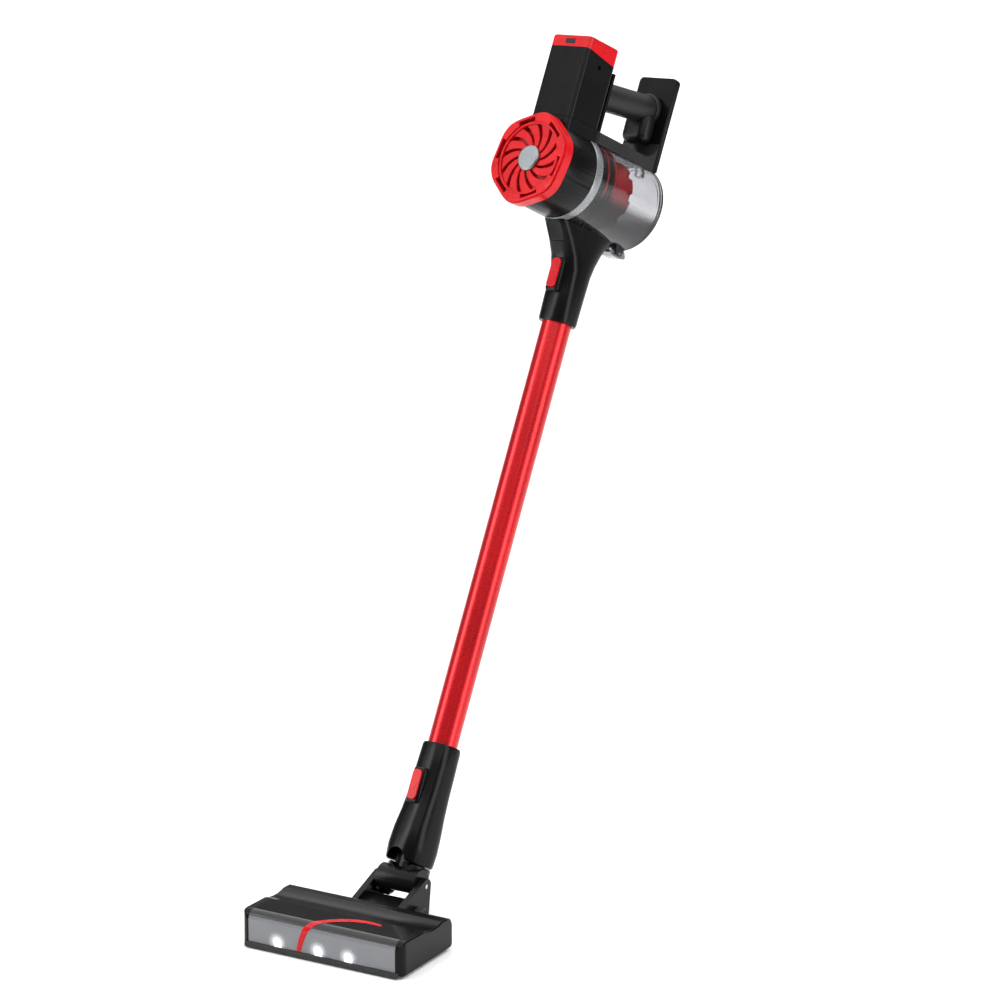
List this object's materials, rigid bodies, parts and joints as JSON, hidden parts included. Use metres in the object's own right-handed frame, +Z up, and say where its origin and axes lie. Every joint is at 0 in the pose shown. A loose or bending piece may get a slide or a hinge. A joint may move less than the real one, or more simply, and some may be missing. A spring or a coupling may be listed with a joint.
{
  "type": "upright stick vacuum cleaner",
  "caption": "Cordless stick vacuum: powered floor head on a tilting, steering neck, red wand, and a hand unit with cyclone cup, motor, battery and grip.",
  "frame": {"origin": "middle of the felt glide strip's face under the floor head, at floor level, on the head's centre line", "axes": "+Z up, -Y towards the head's front, +X to the right of someone who stands in front of the head and looks at it"},
  "size_m": [0.23, 0.8249, 1.0162],
  "materials": {
    "black_gloss": "moulded black plastic, satin gloss",
    "black_matte": "moulded black plastic, fine grain",
    "grey_plastic": "moulded grey plastic",
    "red_gloss": "moulded red plastic, gloss",
    "red_paint": "red anodised aluminium tube",
    "clear": "clear moulded plastic",
    "smoke": "smoked clear moulded plastic",
    "steel": "bright steel",
    "alloy": "machined aluminium",
    "rubber": "black rubber",
    "red_rubber": "red silicone rubber",
    "fleece": "soft woven fleece",
    "red_bristle": "red bristles",
    "filter": "pleated filter paper",
    "white_lens": "white lamp lens",
    "felt": "grey felt",
    "cell_wrap": "shrink wrap",
    "board": "circuit board",
    "magnet": "motor steel"
  },
  "bodies": {
    "hand_unit": {"wand_socket": "black_gloss", "motor_barrel": "black_gloss", "barrel_grille": "black_matte", "motor_case": "alloy", "motor_mounts": "rubber", "cyclone_base": "black_matte", "cyclone_seals": "red_rubber", "cyclone_screen": "grey_plastic", "cyclone_cone": "red_gloss", "battery_dock": "black_gloss", "handle_deck": "black_matte", "handle_grip": "black_matte", "rear_panel": "black_gloss", "panel_fascia": "black_gloss", "control_board": "board"},
    "wand": {"wand_tube": "red_paint"},
    "connector": {"lower_connector": "black_gloss", "swivel_clip": "steel"},
    "yoke": {"neck_yoke": "black_gloss", "swivel_seal": "rubber", "pitch_pins": "steel"},
    "head": {"head_shell": "black_gloss", "sole_plate": "black_matte", "end_cap_left": "black_gloss", "end_cap_right": "black_gloss", "brush_window": "smoke", "accent_strip": "red_gloss", "front_bumper": "rubber", "led_lenses": "white_lens", "glide_strip": "felt", "neck_base": "black_gloss", "brush_motor": "steel", "drive_belt": "rubber", "head_screws": "steel"},
    "brush_roll": {"brush_core": "grey_plastic", "brush_fleece": "fleece", "brush_strip": "red_bristle", "brush_pulley": "black_matte"},
    "motor_pulley": {"motor_pulley": "steel"},
    "wheel_left": {"wheel_left": "rubber"},
    "wheel_right": {"wheel_right": "rubber"},
    "lower_button": {"lower_button": "red_gloss"},
    "upper_button": {"upper_button": "red_gloss"},
    "rotor": {"impeller": "alloy", "rotor_shaft": "magnet"},
    "dust_cup": {"dust_cup": "clear", "cup_rim": "grey_plastic", "lid_hinge_pin": "steel"},
    "cup_lid": {"cup_lid": "clear"},
    "lid_latch": {"lid_latch": "grey_plastic"},
    "exhaust_filter": {"hepa_filter": "filter"},
    "filter_cover": {"filter_cover": "red_gloss", "fan_grille": "red_gloss", "hub_cap": "alloy"},
    "battery_pack": {"battery_case": "black_gloss", "battery_cap": "red_gloss", "battery_cells": "cell_wrap"},
    "battery_button": {"battery_button": "black_matte"},
    "power_button": {"power_button": "black_matte"},
    "speed_button": {"speed_button": "black_matte"}
  },
  "joints": [
    {"name": "wand_pull", "type": "slide", "parent": "hand_unit", "child": "wand", "axis": [0, -0.5165, -0.8563], "range_m": [0, 0.065]},
    {"name": "connector_pull", "type": "slide", "parent": "wand", "child": "connector", "axis": [0, -0.5165, -0.8563], "range_m": [0, 0.065]},
    {"name": "neck_steer", "type": "hinge", "parent": "connector", "child": "yoke", "pos_m": [0, 0.14765, 0.07083], "axis": [0, 0.5165, 0.8563], "range_deg": [-75, 60]},
    {"name": "neck_tilt", "type": "hinge", "parent": "yoke", "child": "head", "pos_m": [0, 0.118, 0.042], "axis": [1, 0, 0], "range_deg": [-31, 58]},
    {"name": "brush_spin", "type": "hinge", "parent": "head", "child": "brush_roll", "pos_m": [0, -0.047, 0.0215], "axis": [1, 0, 0], "continuous": true},
    {"name": "motor_spin", "type": "hinge", "parent": "head", "child": "motor_pulley", "pos_m": [0, 0.004, 0.024], "axis": [1, 0, 0], "continuous": true},
    {"name": "wheel_left_roll", "type": "hinge", "parent": "head", "child": "wheel_left", "pos_m": [-0.043, 0.092, 0.012], "axis": [1, 0, 0], "continuous": true},
    {"name": "wheel_right_roll", "type": "hinge", "parent": "head", "child": "wheel_right", "pos_m": [0.043, 0.092, 0.012], "axis": [1, 0, 0], "continuous": true},
    {"name": "lower_release", "type": "slide", "parent": "connector", "child": "lower_button", "axis": [0.2521, 0.8286, -0.4999], "range_m": [0, 0.0022], "stiffness_N_per_m": 300, "springref_m": -0.002},
    {"name": "upper_release", "type": "slide", "parent": "hand_unit", "child": "upper_button", "axis": [0.2521, 0.8286, -0.4999], "range_m": [0, 0.0022], "stiffness_N_per_m": 300, "springref_m": -0.002},
    {"name": "rotor_spin", "type": "hinge", "parent": "hand_unit", "child": "rotor", "pos_m": [-0.02017, 0.5292, 0.8532], "axis": [0.2521, 0.8286, -0.4999], "continuous": true},
    {"name": "cup_pull", "type": "slide", "parent": "hand_unit", "child": "dust_cup", "axis": [0.2521, 0.8286, -0.4999], "range_m": [0, 0.14]},
    {"name": "lid_swing", "type": "hinge", "parent": "dust_cup", "child": "cup_lid", "pos_m": [0.01941, 0.68977, 0.82524], "axis": [0.9677, -0.2158, 0.1302], "range_deg": [0, 85]},
    {"name": "latch_turn", "type": "hinge", "parent": "dust_cup", "child": "lid_latch", "pos_m": [0.01613, 0.61649, 0.72813], "axis": [-0.9677, 0.2158, -0.1302], "range_deg": [0, 11], "stiffness_Nm_per_rad": 0.06, "springref_deg": -14.32},
    {"name": "filter_pull", "type": "slide", "parent": "hand_unit", "child": "exhaust_filter", "axis": [-0.2521, -0.8286, 0.4999], "range_m": [0, 0.05]},
    {"name": "cover_twist", "type": "hinge", "parent": "exhaust_filter", "child": "filter_cover", "pos_m": [-0.03025, 0.49605, 0.87319], "axis": [0.2521, 0.8286, -0.4999], "range_deg": [0, 30]},
    {"name": "battery_pull", "type": "slide", "parent": "hand_unit", "child": "battery_pack", "axis": [0, 0.5165, 0.8563], "range_m": [0, 0.12]},
    {"name": "battery_release", "type": "slide", "parent": "battery_pack", "child": "battery_button", "axis": [0.2521, 0.8286, -0.4999], "range_m": [0, 0.0015], "stiffness_N_per_m": 300, "springref_m": -0.002},
    {"name": "power_press", "type": "slide", "parent": "hand_unit", "child": "power_button", "axis": [-0.2521, -0.8286, 0.4999], "range_m": [0, 0.0012], "stiffness_N_per_m": 300, "springref_m": -0.002},
    {"name": "speed_press", "type": "slide", "parent": "hand_unit", "child": "speed_button", "axis": [-0.2521, -0.8286, 0.4999], "range_m": [0, 0.0012], "stiffness_N_per_m": 300, "springref_m": -0.002}
  ],
  "couplings": [
    {"joint": "motor_spin", "follows": "brush_spin", "ratio": 1.7143}
  ]
}
